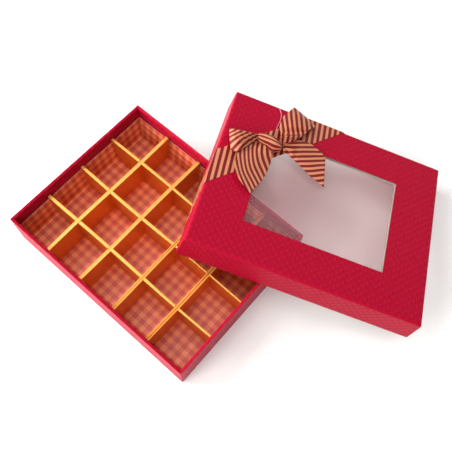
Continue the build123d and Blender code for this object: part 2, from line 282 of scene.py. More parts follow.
def embossed_paper():
    """Pearl paper: crimson, with a pale speck, and embossed dots whose raised tops carry a painted
    highlight in paler pink.

    The real speck is finer than 0.2 mm. It is drawn coarser so that it shows.
    """
    material, tree = new_material("embossed_pearl_paper")
    sheet_place = node(tree, "ShaderNodeUVMap", uv_map="paper").outputs["UV"]
    turned = node(
        tree,
        "ShaderNodeVectorRotate",
        {"Vector": sheet_place, "Angle": math.radians(45)},
        rotation_type="Z_AXIS",
    )
    waves = [
        node(
            tree,
            "ShaderNodeTexWave",
            {"Vector": turned.outputs["Vector"], "Scale": wave_period / emboss_pitch},
            wave_type="BANDS",
            bands_direction=direction,
        )
        for direction in ("X", "Y")
    ]
    dots = node(
        tree,
        "ShaderNodeMath",
        {0: waves[0].outputs["Fac"], 1: waves[1].outputs["Fac"]},
        operation="MULTIPLY",
    )
    specks = node(
        tree, "ShaderNodeTexNoise", {"Vector": sheet_place, "Scale": 1 / paper_speck, "Detail": 3.0}
    )
    height = node(
        tree,
        "ShaderNodeMath",
        {0: specks.outputs["Fac"], 1: speck_share, 2: dots.outputs[0]},
        operation="MULTIPLY_ADD",
    )
    relief = node(tree, "ShaderNodeBump", {"Height": height.outputs[0], "Distance": emboss_depth / 1000})
    colour = node(
        tree,
        "ShaderNodeMix",
        {"Factor": specks.outputs["Fac"], "A": linear(paper_deep_colour), "B": linear(paper_colour)},
        data_type="RGBA",
    )
    # Painted highlight: the higher a dot's top, the paler pink it is painted.
    dot_highlight_mask = node(
        tree,
        "ShaderNodeMapRange",
        {"Value": dots.outputs[0], "From Min": dot_highlight_from, "From Max": 1.0, "To Max": dot_highlight_most},
    )
    dot_highlighted = node(
        tree,
        "ShaderNodeMix",
        {"Factor": dot_highlight_mask.outputs["Result"], "A": colour.outputs["Result"], "B": linear(dot_highlight_colour)},
        data_type="RGBA",
    )
    shader = node(
        tree,
        "ShaderNodeBsdfPrincipled",
        {
            "Base Color": dot_highlighted.outputs["Result"],
            "Roughness": paper_roughness,
            "Specular IOR Level": paper_shine,
            "Specular Tint": linear(paper_shine_tint),
            "Normal": relief.outputs["Normal"],
        },
    )
    node(tree, "ShaderNodeOutputMaterial", {"Surface": shader.outputs["BSDF"]})
    return material


pearl_paper = embossed_paper()


def thicken(piece, thickness, side=-1, back=0, edge=0):
    """Gives a sheet its thickness in millimetres, on the side away from its face."""
    solid = piece.modifiers.new("thickness", "SOLIDIFY")
    solid.thickness = thickness / 1000
    solid.offset = side
    solid.material_offset = back
    solid.material_offset_rim = edge
    piece.modifiers.new("flat_faces", "WEIGHTED_NORMAL").keep_sharp = True


def paper_place(point, side, reach):
    """A point's place on the flat sheet, unrolled across the fold of its side."""
    if side == 0:
        return (reach, point.y)
    if side == 1:
        return (point.x, reach)
    if side == 2:
        return (-reach, point.y)
    return (point.x, -reach)


def shell_faces(points, sides, reaches, length, width):
    """The faces between a shell's rings, with each corner's place on the flat sheet."""
    count = len(sides)
    halves = (length / 2, width / 2, length / 2, width / 2)
    faces, uv = [], []
    for level in range(len(reaches) - 1):
        for index in range(count):
            after = (index + 1) % count
            low, high = level * count, (level + 1) * count
            face = (low + index, low + after, high + after, high + index)
            side = sides[index]
            faces.append(face)
            uv.append([
                paper_place(points[corner], side, halves[side] + reaches[corner // count])
                for corner in face
            ])
    return faces, uv


under_flap = 16.0
tray_turn_in = 22.0
tray_profile = rounded_path(
    [
        (under_flap, tray_low.z),
        (0, tray_low.z),
        (0, tray_height),
        (wall, tray_height - rim_slope),
        (wall, tray_height - tray_turn_in),
    ],
    fold_radius,
)
tray_points, tray_sides, tray_reaches = wrap_shell(tray_length, tray_width, tray_profile)
tray_faces, tray_uv = shell_faces(tray_points, tray_sides, tray_reaches, tray_length, tray_width)
tray_wrap = make_piece(
    "tray_embossed_wrap", "tray", tray_place, tray_points, tray_faces, [pearl_paper], "paper", tray_uv
)
thicken(tray_wrap, wrap_thickness)
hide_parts("tray_wrap")

# The base sheet: plain uncoated paper glued under the tray, over the wrap's raw edges. The
# lid's lining is the same paper, which is soft and matt and a little warm.
plain_colour = "EEEAE2"
plain_fibre = 0.8
plain_roughness = 0.8
plain_paper = uncoated_paper("plain_white_paper", plain_colour, plain_fibre, 4.0, plain_roughness)
dress(["tray_base_sheet", "lid_lining"], plain_paper)

# The gingham liner: a card floor with four flaps creased up against the walls, printed on its
# face and white behind. The flaps stand open at the corners and are a little wavy.
gingham_light = "DE885C"
gingham_middle = "CA6442"
gingham_dark = "B44234"
gingham_square = 4.35
gingham_blur = 0.06
liner_card = 0.5
liner_crease = 1.6
flap_lean = 3.0
flap_wave = 0.25
flap_wave_length = 17.0
flap_wave_shift = 2.1
flap_steps = 24
corner_play = 0.15
card_roughness = 0.45
# The card's white back is painted a dim pink: painted shade.
card_back_shade_colour = "E2BEB0"


def gingham_card():
    """Printed card: even checks with slightly soft edges under a satin varnish."""
    material, tree = new_material("printed_gingham_card")
    sheet_place = node(tree, "ShaderNodeUVMap", uv_map="card").outputs["UV"]
    stripes = []
    for direction in ("X", "Y"):
        wave = node(
            tree,
            "ShaderNodeTexWave",
            {"Vector": sheet_place, "Scale": wave_period / (2 * gingham_square)},
            wave_type="BANDS",
            bands_direction=direction,
        )
        edge = node(
            tree,
            "ShaderNodeMapRange",
            {"Value": wave.outputs["Fac"], "From Min": 0.5 - gingham_blur, "From Max": 0.5 + gingham_blur},
        )
        stripes.append(edge.outputs["Result"])
    both = node(tree, "ShaderNodeMath", {0: stripes[0], 1: stripes[1]}, operation="ADD")
    share = node(tree, "ShaderNodeMath", {0: both.outputs[0], 1: 0.5}, operation="MULTIPLY")
    ramp = node(tree, "ShaderNodeValToRGB", {"Fac": share.outputs[0]})
    ramp.color_ramp.elements[0].color = linear(gingham_light)
    ramp.color_ramp.elements[1].color = linear(gingham_dark)
    ramp.color_ramp.elements.new(0.5).color = linear(gingham_middle)
    shader = node(
        tree,
        "ShaderNodeBsdfPrincipled",
        {"Base Color": ramp.outputs["Color"], "Roughness": card_roughness},
    )
    node(tree, "ShaderNodeOutputMaterial", {"Surface": shader.outputs["BSDF"]})
    return material


# The card's unprinted back and cut edges are white pulp and matt. They are painted a dim, faint pink:
# painted shade, warmed by the red walls round them.
card_back = uncoated_paper("white_card_back", card_back_shade_colour, plain_fibre, 3.0, plain_roughness)
liner_low, liner_high = [corner * 1000 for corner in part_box("gingham_liner")]
liner_half_x = liner_high.x - liner_card
liner_half_y = liner_high.y - liner_card
liner_floor = liner_low.z + liner_card


def liner_mesh():
    """The card's printed face: the floor, and each flap as a strip that turns up and leans out."""
    points, faces, uv = [], [], []
    flap_height = liner_high.z - liner_floor
    foot = liner_crease + flap_lean
    crease = rounded_path([(-foot, 0), (-flap_lean, 0), (0, flap_height)], liner_crease)[1:]
    inner_x, inner_y = liner_half_x - foot, liner_half_y - foot
    corners = [(-inner_x, -inner_y), (inner_x, -inner_y), (inner_x, inner_y), (-inner_x, inner_y)]
    points += [Vector((x, y, liner_floor)) for x, y in corners]
    faces.append((0, 1, 2, 3))
    uv.append(corners)
    for side in range(4):
        half, other = (liner_half_x, liner_half_y) if side % 2 == 0 else (liner_half_y, liner_half_x)
        turn = Matrix.Rotation(math.radians(90 * side), 3, "Z")
        first = len(points)
        walked, reach = half - foot, []
        for before, here in zip([crease[0]] + crease, crease):
            walked += (here - before).length
            reach.append(walked)
        spans = [other + out - corner_play * min(1.0, height / liner_crease) for out, height in crease]
        for (out, height), span in zip(crease, spans):
            for step in range(flap_steps + 1):
                along = span * (2 * step / flap_steps - 1)
                sway = math.sin(along / flap_wave_length + side * flap_wave_shift)
                wave = flap_wave * height / flap_height * sway
                points.append(turn @ Vector((half + out - wave, along, liner_floor + height)))
        row = flap_steps + 1
        for level in range(len(crease) - 1):
            for step in range(flap_steps):
                low = first + level * row + step
                face = (low + row, low + row + 1, low + 1, low)
                pairs = []
                for corner in face:
                    line, place = divmod(corner - first, row)
                    flat = turn @ Vector((reach[line], spans[line] * (2 * place / flap_steps - 1), 0))
                    pairs.append((flat.x, flat.y))
                faces.append(face)
                uv.append(pairs)
    return points, faces, uv


liner_points, liner_faces, liner_uv = liner_mesh()
liner = make_piece(
    "gingham_card_liner",
    "liner",
    tray_place,
    liner_points,
    liner_faces,
    [gingham_card(), card_back],
    "card",
    liner_uv,
)
thicken(liner, liner_card, back=1, edge=1)
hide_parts("gingham_liner")

# The lattice: strips of gold foil card folded double and slotted together at half height.
# The long strips are slotted from above, and the short ones ride over them unbroken.
gold_colour = "E3923A"
gold_roughness = 0.42
crest_colour = "D19041"
crest_metallic = 0.5
crest_depth = 0.3
gold_line = 1.4
gold_line_height = 20.0
gold_relief = 0.015
divider_card = 0.35
leg_spread = 0.15
slot_play = 0.15
top_turn = 0.5
top_turn_limit = 0.3
top_turn_steps = 4
strip_steps = 6
short_run = 20
bend_wave_length = 23.0
bend_wave_shift = 9
lattice_low, lattice_high = [corner * 1000 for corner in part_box("short_divider_1")]
lattice_height = lattice_high.z - lattice_low.z


def gold_foil_card():
    """Gold foil on card: a warm, blurred mirror with rolling lines, drawn coarser to show.

    Along the fold's crest the foil takes another colour and is less metallic.
    """
    material, tree = new_material("gold_foil_card")
    place = in_millimetres(tree)
    level = node(tree, "ShaderNodeSeparateXYZ", {"Vector": place})
    crest_share = node(
        tree,
        "ShaderNodeMapRange",
        {
            "Value": level.outputs["Z"],
            "From Min": lattice_high.z - crest_depth,
            "From Max": lattice_high.z - crest_depth / 4,
        },
    )
    colour = node(
        tree,
        "ShaderNodeMix",
        {"Factor": crest_share.outputs["Result"], "A": linear(gold_colour), "B": linear(crest_colour)},
        data_type="RGBA",
    )
    metallic = node(
        tree,
        "ShaderNodeMapRange",
        {"Value": crest_share.outputs["Result"], "To Min": 1.0, "To Max": crest_metallic},
    )
    lines = node(
        tree,
        "ShaderNodeVectorMath",
        {0: place, 1: (1 / gold_line, 1 / gold_line, 1 / gold_line_height)},
        operation="MULTIPLY",
    )
    grain = node(
        tree,
        "ShaderNodeTexNoise",
        {"Vector": lines.outputs["Vector"], "Scale": 1.0, "Detail": 3.0},
    )
    relief = node(
        tree,
        "ShaderNodeBump",
        {"Height": grain.outputs["Fac"], "Distance": gold_relief / 1000},
    )
    shader = node(
        tree,
        "ShaderNodeBsdfPrincipled",
        {
            "Base Color": colour.outputs["Result"],
            "Metallic": metallic.outputs["Result"],
            "Roughness": gold_roughness,
            "Normal": relief.outputs["Normal"],
        },
    )
    node(tree, "ShaderNodeOutputMaterial", {"Surface": shader.outputs["BSDF"]})
    return material


gold = gold_foil_card()


def width_at(widths, share):
    """The width of a strip's top at a share of its length, from the widths of its bays."""
    bay = share * len(widths) - 0.5
    low = max(0, min(len(widths) - 1, math.floor(bay)))
    high = min(len(widths) - 1, low + 1)
    part = min(max(bay - low, 0.0), 1.0)
    return widths[low] * (1 - part) + widths[high] * part


def folded_profile(width, height, dent):
    """Two legs that spread a little under a flat or dented fold: (across, height) points."""
    half = width / 2
    middle = height / 2
    turn = min(top_turn, top_turn_limit * half)
    profile = [(-half - leg_spread, 0.0), (-half - leg_spread / 3, middle / 2)]
    profile += [(-half, middle - leg_spread), (-half, middle + leg_spread)]
    for step in range(top_turn_steps + 1):
        angle = math.radians(90 * step / top_turn_steps)
        profile.append((-half + turn * (1 - math.cos(angle)), height - turn * (1 - math.sin(angle))))
    profile += [(-half + 2 * turn, height - dent / 3), (-half / 4, height - dent)]
    return profile + [(-across, level) for across, level in reversed(profile)]


def folded_strip(length, widths, crossings, slot_above, bend, dent):
    """One strip along X, slotted at each crossing, its ends cut to follow the leaning flaps."""
    stations = [-length / 2]
    for place, slot_half in crossings:
        stations += [place - slot_half, place + slot_half]
    stations.append(length / 2)
    filled = [stations[0]]
    for before, here in zip(stations, stations[1:]):
        steps = 1 if here - before < length / short_run else strip_steps
        filled += [before + (here - before) * step / steps for step in range(1, steps + 1)]
    points = []
    for place in filled:
        profile = folded_profile(width_at(widths, place / length + 0.5), lattice_height, dent)
        shift = bend * math.sin(place / bend_wave_length + bend * bend_wave_shift)
        for across, level in profile:
            rise = level / lattice_height
            limit = length / 2 - flap_lean * (1 - rise)
            points.append(Vector((max(-limit, min(limit, place)), across + shift * rise, level)))
    row = len(profile)
    faces = []
    for station in range(len(filled) - 1):
        centre = (filled[station] + filled[station + 1]) / 2
        in_slot = any(abs(centre - place) < slot_half for place, slot_half in crossings)
        for step in range(row - 1):
            low = station * row + step
            level = (points[low].z + points[low + 1].z) / 2
            cut = level > lattice_height / 2 if slot_above else level < lattice_height / 2
            if not (in_slot and cut):
                faces.append((low, low + 1, low + row + 1, low + row))
    return points, faces


cross_x = [sum(corner.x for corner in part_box(f"short_divider_{n}")) * 500 for n in (1, 2, 3, 4)]
cross_y = [sum(corner.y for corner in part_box(f"long_divider_{n}")) * 500 for n in (1, 2, 3)]
long_length = (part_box("long_divider_1")[1].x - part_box("long_divider_1")[0].x) * 1000
short_length = lattice_high.y - lattice_low.y
long_widths = [(2.8, 2.6, 2.6, 2.0, 1.3), (2.5, 2.7, 2.4, 1.2, 0.9), (2.2, 2.2, 1.8, 1.2, 0.9)]
short_widths = [(3.1, 3.3, 3.3, 3.1), (3.1, 3.2, 3.2, 3.0), (3.1, 3.1, 2.9, 2.7), (3.0, 3.2, 3.2, 3.0)]
long_bends = (0.3, -0.35, 0.4)
short_bends = (0.35, -0.3, 0.25, -0.4)
long_dents = (0.0, 0.0, 0.0)
short_dents = (0.2, 0.3, 0.9, 1.5)


def gold_strips(kind, turn, places, length, widths, bends, dents, crossed):
    """The strips that run one way, each slotted where it crosses those that run the other way."""
    other_places, other_length, other_widths = crossed
    for number, place in enumerate(places):
        crossings = [
            (cross, width_at(other_widths[n], place / other_length + 0.5) / 2 + slot_play)
            for n, cross in enumerate(other_places)
        ]
        points, faces = folded_strip(
            length, widths[number], crossings, kind == "long", bends[number], dents[number]
        )
        spot = (place, 0, lattice_low.z) if turn else (0, place, lattice_low.z)
        stand = tray_place @ Matrix.Translation(spot) @ Matrix.Rotation(math.radians(turn), 4, "Z")
        strip = make_piece(f"{kind}_gold_strip_{number + 1}", "lattice", stand, points, faces, [gold])
        thicken(strip, divider_card)
        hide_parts(f"{kind}_divider_{number + 1}")


long_ones = (cross_y, long_length, long_widths)
short_ones = (cross_x, short_length, short_widths)
gold_strips("long", 0, *long_ones, long_bends, long_dents, short_ones)
gold_strips("short", 90, *short_ones, short_bends, short_dents, long_ones)

# The lid's board: a greyboard blank, scored and folded down at its four sides, with the window
# cut out of its top. The lid leans on the tray, so its own axes are read from the flat film.
# Its walls stand out a little towards the rim.
lid_fold_radius = 2.2
lid_lean = {"left": 2.4, "right": 1.3, "near": 1.0, "far": 0.0}
window_length = 128.0
window_width = 96.0


def axes_of_lid():
    """The lid's own axes and middle, from the flat window film, and its sizes in them."""
    film = np.array([vertex.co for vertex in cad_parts["window_film"].data.vertices])
    middle = film.mean(axis=0)
    spread = np.linalg.eigh(np.cov((film - middle).T))[1]
    along, up = Vector(spread[:, 2]), Vector(spread[:, 0])
    along = along if along.x > 0 else -along
    up = up if up.z > 0 else -up
    turn = Matrix((along, up.cross(along), up)).transposed()
    to_lid = turn.transposed()
    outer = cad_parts["lid_wrap"].data.vertices
    wrap = [to_lid @ (vertex.co - Vector(middle)) for vertex in outer]
    low = Vector([min(point[axis] for point in wrap) for axis in range(3)]) * 1000
    high = Vector([max(point[axis] for point in wrap) for axis in range(3)]) * 1000
    rim = Vector(middle) + turn @ (Vector((0, 0, low.z)) / 1000)
    place = Matrix.Translation(rim) @ turn.to_4x4() @ Matrix.Scale(0.001, 4)
    return place, high.x - low.x, high.y - low.y, high.z - low.z


lid_place, lid_length, lid_width, lid_depth = axes_of_lid()


def leaning(x, y, inset, height):
    """How far the lid's outer face stands out at a place, as its walls lean out to the rim."""
    share = (1 - height / lid_depth) * max(0.0, min(1.0, 1 - inset / wall))
    along = lid_lean["right"] if x > 0 else -lid_lean["left"]
    aside = lid_lean["far"] if y > 0 else -lid_lean["near"]
    return Vector((along * share, aside * share, 0))


board_profile = rounded_path(
    [
        (board_inside + lid_fold_radius, lid_depth - paper_gap),
        (paper_gap, lid_depth - paper_gap),
        (paper_gap, lid_depth / 2),
    ],
    lid_fold_radius - paper_gap,
)
board_profile += [
    Vector(place)
    for place in (
        (paper_gap, paper_gap),
        (board_inside, paper_gap),
        (board_inside, lid_depth - board_inside),
    )
]
board_points, board_sides, _ = wrap_shell(lid_length, lid_width, board_profile)
board_points = [point + leaning(point.x, point.y, 0, point.z) for point in board_points]
for level in (lid_depth - board_inside, lid_depth - paper_gap):
    opening, _ = box_ring(window_length / 2, window_width / 2, inner_fold_radius, level)
    board_points += opening
board_faces = ring_faces(len(board_profile) + 2, len(board_sides), True)
lid_board = make_piece(
    "lid_greyboard", "lid", lid_place, board_points, [face[::-1] for face in board_faces], [board_finish]
)
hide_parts("lid_board")

# The lid's wrap: the same embossed paper, glued over the top and the walls, round the rim and
# turned in, with the window cut out of it.
lid_turn_in = 16.0
lid_profile = rounded_path(
    [(lid_fold_radius * 2, lid_depth), (0, lid_depth), (0, lid_depth / 2)], lid_fold_radius
)
lid_profile += rounded_path([(0, lid_depth / 2), (0, 0), (wall, 0), (wall, lid_turn_in)], fold_radius)[1:]
lid_points, lid_sides, lid_reaches = wrap_shell(lid_length, lid_width, lid_profile)
lid_points = [
    point + leaning(point.x, point.y, lid_profile[index // len(lid_sides)][0], point.z)
    for index, point in enumerate(lid_points)
]
lid_faces, lid_uv = shell_faces(lid_points, lid_sides, lid_reaches, lid_length, lid_width)
window_ring, _ = box_ring(window_length / 2, window_width / 2, inner_fold_radius, lid_depth)
first = len(lid_points)
lid_points += window_ring
count = len(window_ring)
for index in range(count):
    after = (index + 1) % count
    face = (first + index, first + after, after, index)
    lid_faces.append(face)
    lid_uv.append([(lid_points[corner].x, lid_points[corner].y) for corner in face])
lid_wrap = make_piece(
    "lid_embossed_wrap", "lid", lid_place, lid_points, lid_faces, [pearl_paper], "paper", lid_uv
)
thicken(lid_wrap, wrap_thickness)
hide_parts("lid_wrap")

# The window: clear film drawn flat under the opening and held by double-sided tape. Its cloudy
# pinkish veil is painted light: a painted reflection, with painted shade of the lid and the red
# around it, and is matched to the photograph. The film itself is clear.
film_painted_veil = "C08086"
film_painted_veil_deep = "A85C66"
film_alpha = 0.2
film_roughness = 0.22
film_cloud = 45.0


def clear_film():
    """Clear polyester film: see-through, with a soft gloss and a cloudy pink veil of painted reflection and
    painted shade.
    """
    material, tree = new_material("clear_polyester_film")
    place = in_millimetres(tree)
    clouds = node(tree, "ShaderNodeTexNoise", {"Vector": place, "Scale": 1 / film_cloud, "Detail": 1.0})
    painted_veil_mix = node(
        tree,
        "ShaderNodeMix",
        {"Factor": clouds.outputs["Fac"], "A": linear(film_painted_veil_deep), "B": linear(film_painted_veil)},
        data_type="RGBA",
    )
    shader = node(
        tree,
        "ShaderNodeBsdfPrincipled",
        {
            "Base Color": painted_veil_mix.outputs["Result"],
            "Roughness": film_roughness,
            "Alpha": film_alpha,
        },
    )
    node(tree, "ShaderNodeOutputMaterial", {"Surface": shader.outputs["BSDF"]})
    return material


dress(["window_film"], clear_film())

# Double-sided tape holds the film to the board: milky and matt, with the grain of its tissue.
# It hides between the board and the lining.
tape_colour = "E9E4D8"
tissue_tape = uncoated_paper("tissue_tape", tape_colour, plain_fibre, 2.0, plain_roughness)
dress(["film_tape"], tissue_tape)

# The ribbon band: 26 mm twill ribbon with woven stripes, drawn flat over the lid's corner,
# down both walls, round the rim and tucked inside, where it is glued.
ribbon_width = 26.0
ribbon_thickness = 0.35
ribbon_lift = 0.08
stripe_pitch = 5.3
peach_share = 0.47
peach_colour = "CC825E"
maroon_colour = "6E090E"
stripe_angle = 49.0
twill_pitch = 0.9
twill_relief = 0.05
twill_waver = 0.6
stripe_blur = 0.09
yarn_tone = 0.35
# The twill's grooves are painted darker and its ridges lighter: painted shade and painted highlight.
twill_groove_shade = 0.86
twill_ridge_highlight = 1.06
ribbon_roughness = 0.5
ribbon_shine = 0.2
ribbon_sheen = 0.05
ribbon_sheen_roughness = 0.4
ribbon_sheen_tint = "FFD9C2"
band_corner_leg = 91.0
band_tuck = 13.0
band_fold = 0.8
band_run_in = 4 * band_fold
band_across_steps = 8
band_top_steps = 16


def striped_twill():
    """Polyester twill: satin yarns in a fine slant across the woven stripes, with painted shade in the
    twill's grooves and a painted highlight on its ridges.

    The real twill line is about 0.4 mm apart. It is drawn coarser so that it shows.
    """
    material, tree = new_material("striped_twill_ribbon")
    cloth_place = node(tree, "ShaderNodeUVMap", uv_map="cloth").outputs["UV"]
    stripe = node(
        tree,
        "ShaderNodeTexWave",
        {"Vector": cloth_place, "Scale": wave_period / stripe_pitch},
        wave_type="BANDS",
        bands_direction="X",
    )
    edge_middle = 0.5 + 0.5 * math.cos(math.pi * peach_share)
    edge = node(
        tree,
        "ShaderNodeMapRange",
        {
            "Value": stripe.outputs["Fac"],
            "From Min": edge_middle - stripe_blur,
            "From Max": edge_middle + stripe_blur,
        },
    )
    twill = node(
        tree,
        "ShaderNodeTexWave",
        {
            "Vector": cloth_place,
            "Scale": wave_period / twill_pitch,
            "Distortion": twill_waver,
            "Detail": 1.0,
        },
        wave_type="BANDS",
        bands_direction="DIAGONAL",
    )
    tone = node(tree, "ShaderNodeTexNoise", {"Vector": cloth_place, "Scale": yarn_tone, "Detail": 2.0})
    colour = node(
        tree,
        "ShaderNodeMix",
        {"Factor": edge.outputs["Result"], "A": linear(maroon_colour), "B": linear(peach_colour)},
        data_type="RGBA",
    )
    # Painted shade and highlight: the colour follows the same twill waves as the relief.
    shade = node(
        tree,
        "ShaderNodeMapRange",
        {"Value": twill.outputs["Fac"], "To Min": twill_groove_shade, "To Max": twill_ridge_highlight},
    )
    shaded = node(
        tree,
        "ShaderNodeMix",
        {"Factor": 1.0, "A": colour.outputs["Result"], "B": shade.outputs["Result"]},
        data_type="RGBA",
        blend_type="MULTIPLY",
    )
    height = node(
        tree,
        "ShaderNodeMath",
        {0: twill.outputs["Fac"], 1: tone.outputs["Fac"]},
        operation="ADD",
    )
    relief = node(
        tree,
        "ShaderNodeBump",
        {"Height": height.outputs[0], "Distance": twill_relief / 1000},
    )
    shader = node(
        tree,
        "ShaderNodeBsdfPrincipled",
        {
            "Base Color": shaded.outputs["Result"],
            "Roughness": ribbon_roughness,
            "Specular IOR Level": ribbon_shine,
            "Sheen Weight": ribbon_sheen,
            "Sheen Roughness": ribbon_sheen_roughness,
            "Sheen Tint": linear(ribbon_sheen_tint),
            "Normal": relief.outputs["Normal"],
        },
    )
    node(tree, "ShaderNodeOutputMaterial", {"Surface": shader.outputs["BSDF"]})
    return material


ribbon = striped_twill()


def across_stripes(across, along):
    """A place on the flat ribbon, turned so that the first number runs square to the stripes."""
    turn = math.radians(stripe_angle)
    square = across * math.cos(turn) - along * math.sin(turn)
    level = across * math.sin(turn) + along * math.cos(turn)
    return (square, level)


def grid_faces(rows, columns):
    """Faces of a grid of points that were added row by row."""
    faces = []
    for row in range(rows - 1):
        for column in range(columns - 1):
            low = row * columns + column
            faces.append((low, low + 1, low + columns + 1, low + columns))
    return faces


def ribbon_sheet(name, node_name, points, columns, places):
    """A piece of ribbon on the lid, from rows of points and their places on the flat ribbon."""
    faces = grid_faces(len(points) // columns, columns)
    uv = [[places[corner] for corner in face] for face in faces]
    piece = make_piece(name, "lid", lid_place, points, faces, [ribbon], "cloth", uv, sharp=180.0)
    thicken(piece, ribbon_thickness, side=0)
    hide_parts(node_name)


def over_edge():
    """The band's way over the lid's edge: (outward, height) points and how far along each is."""
    lift = ribbon_lift + ribbon_thickness / 2
    path = rounded_path(
        [
            (-band_run_in, lid_depth + lift),
            (lift, lid_depth + lift),
            (lift, -lift),
            (-wall - lift, -lift),
            (-wall - lift, band_tuck),
        ],
        band_fold,
    )
    walked = [-band_run_in - lift]
    for before, here in zip(path, path[1:]):
        walked.append(walked[-1] + (here - before).length)
    return path, walked


def ribbon_band():
    """The band, from the flat ribbon laid over the corner and bent down at both edges."""
    path, walked = over_edge()
    half_x, half_y = lid_length / 2, lid_width / 2
    root = math.sqrt(2)
    middle = Vector(((-half_x - half_x + band_corner_leg) / 2, (half_y - band_corner_leg + half_y) / 2))
    fold_at = band_corner_leg / root
    beyond = [fold_at + root * reach for reach in walked]
    inner = [beyond[0] * (2 * step / band_top_steps - 1) for step in range(band_top_steps + 1)]
    stations = [-value for value in reversed(beyond[1:])] + inner + beyond[1:]
    points, places = [], []
    for station in stations:
        blend = -max(-1.0, min(1.0, station / beyond[0]))
        for step in range(band_across_steps + 1):
            across = ribbon_width * (step / band_across_steps - 0.5)
            along = station + across * blend
            x = middle.x + (along - across) / root
            y = middle.y + (along + across) / root
            height = lid_depth + ribbon_lift + ribbon_thickness / 2
            if x < -half_x + band_run_in:
                reach = -half_x - x
                x = -half_x - float(np.interp(reach, walked, [p[0] for p in path]))
                height = float(np.interp(reach, walked, [p[1] for p in path]))
                x += leaning(x, y, x + half_x, height).x
            elif y > half_y - band_run_in:
                reach = y - half_y
                y = half_y + float(np.interp(reach, walked, [p[0] for p in path]))
                height = float(np.interp(reach, walked, [p[1] for p in path]))
            points.append(Vector((x, y, height)))
            places.append(across_stripes(across, along))
    return points, places, 2 * beyond[-1]


band_points, band_places, band_length = ribbon_band()
ribbon_sheet(
    "striped_ribbon_band", "ribbon_band", band_points, band_across_steps + 1, band_places
)

# The bow: the same ribbon, folded into two loops, two slant-cut tails and a puffed middle, and
# bound with thread. Each piece is shaped through a few places, in millimetres from its middle,
# and the last number of a place counts the woven stripes up to it.
bow_place_share = 0.465
bow_base = lid_depth + ribbon_thickness + ribbon_lift
knot_x = -lid_length / 2 + bow_place_share * band_corner_leg
knot_y = lid_width / 2 - (1 - bow_place_share) * band_corner_leg
pleat_limit = 0.95
pleat_reach = 0.5
bow_along_steps = 6
bow_across_steps = 40

left_loop_rows = [
    [(-11.7, 3.1, 6.0, 4.3), (-10.9, -0.1, 6.5, 5.0), (-9.6, -0.8, 4.0, 5.7)],
    [(-18.4, 0.4, 8.5, 3.0), (-16.8, -5.5, 9.2, 4.3), (-14.6, -7.6, 6.0, 5.3)],
    [(-28.4, -2.3, 9.8, 1.1), (-25.1, -11.0, 10.8, 3.2), (-19.5, -15.7, 7.5, 5.0)],
    [(-34.8, -3.4, 9.2, -0.1), (-30.7, -13.7, 10.0, 2.4), (-23.9, -23.0, 7.0, 4.5)],
    [(-37.8, -1.4, 5.5, -0.7), (-34.6, -12.1, 5.5, 1.8), (-30.5, -21.5, 4.5, 3.3)],
    [(-34.2, 1.8, 1.6, 0.1), (-30.8, -8.5, 1.5, 2.4), (-25.2, -20.0, 1.2, 4.2)],
    [(-24.9, 3.6, 1.2, 2.0), (-21.6, -4.9, 1.0, 4.0), (-17.5, -13.0, 1.0, 5.4)],
    [(-11.4, 3.4, 2.0, 4.8), (-10.4, 1.3, 1.5, 5.4), (-9.0, -1.7, 1.5, 6.1)],
]
right_loop_rows = [
    [(8.3, 13.0, 5.0, 0.0), (9.9, 8.8, 6.0, 0.3), (12.2, 5.1, 4.5, 0.7)],
    [(8.0, 13.2, 6.0, 0.1), (13.4, 10.3, 7.5, 1.1), (17.8, 7.8, 6.0, 2.0)],
    [(7.9, 13.7, 6.5, 0.1), (17.1, 15.1, 7.8, 2.0), (26.0, 17.9, 6.5, 3.9)],
    [(7.6, 16.1, 5.2, -0.1), (19.5, 21.5, 5.6, 2.7), (30.9, 27.3, 5.2, 5.3)],
    [(5.0, 19.9, 7.2, -0.2), (17.9, 24.6, 8.6, 2.9), (31.8, 28.9, 7.0, 5.8)],
    [(4.9, 30.4, 8.4, 0.7), (18.2, 32.6, 9.0, 3.5), (34.4, 32.4, 7.0, 6.5)],
    [(9.2, 40.9, 7.6, 2.1), (22.0, 39.9, 8.0, 4.6), (36.1, 35.3, 6.2, 7.0)],
    [(13.5, 51.6, 4.0, 3.2), (25.8, 46.0, 4.0, 5.3), (37.5, 39.2, 3.6, 7.2)],
    [(11.8, 47.0, 0.9, 0.4), (26.1, 43.1, 0.9, 3.1), (36.0, 37.1, 0.9, 5.0)],
    [(10.1, 30.2, 0.9, -0.4), (19.4, 29.6, 0.9, 1.4), (28.3, 25.8, 0.9, 3.2)],
    [(9.4, 14.6, 2.0, -1.0), (11.2, 11.4, 1.8, -0.7), (13.2, 7.6, 1.6, -0.4)],
]
left_tail_rows = [
    [(-10.0, -1.5, 3.0, 5.3), (-6.7, -2.4, 4.0, 6.2), (-2.7, -1.6, 3.0, 7.1)],
    [(-16.6, -10.2, 3.8, 3.5), (-6.8, -10.9, 5.0, 6.0), (4.4, -8.1, 3.5, 8.2)],
    [(-21.0, -17.2, 4.8, 2.0), (-7.1, -19.9, 4.4, 5.3), (6.7, -15.0, 2.4, 7.9)],
    [(-24.0, -25.2, 5.4, 0.8), (-8.5, -30.7, 4.2, 3.9), (6.6, -24.4, 1.8, 6.9)],
    [(-24.2, -31.3, 5.6, 0.2), (-11.9, -39.1, 4.4, 2.1), (4.6, -37.8, 2.2, 5.0)],
    [(-25.1, -34.1, 6.0, -0.2), (-16.3, -47.7, 4.8, -0.2), (-2.6, -57.0, 3.0, 0.9)],
]
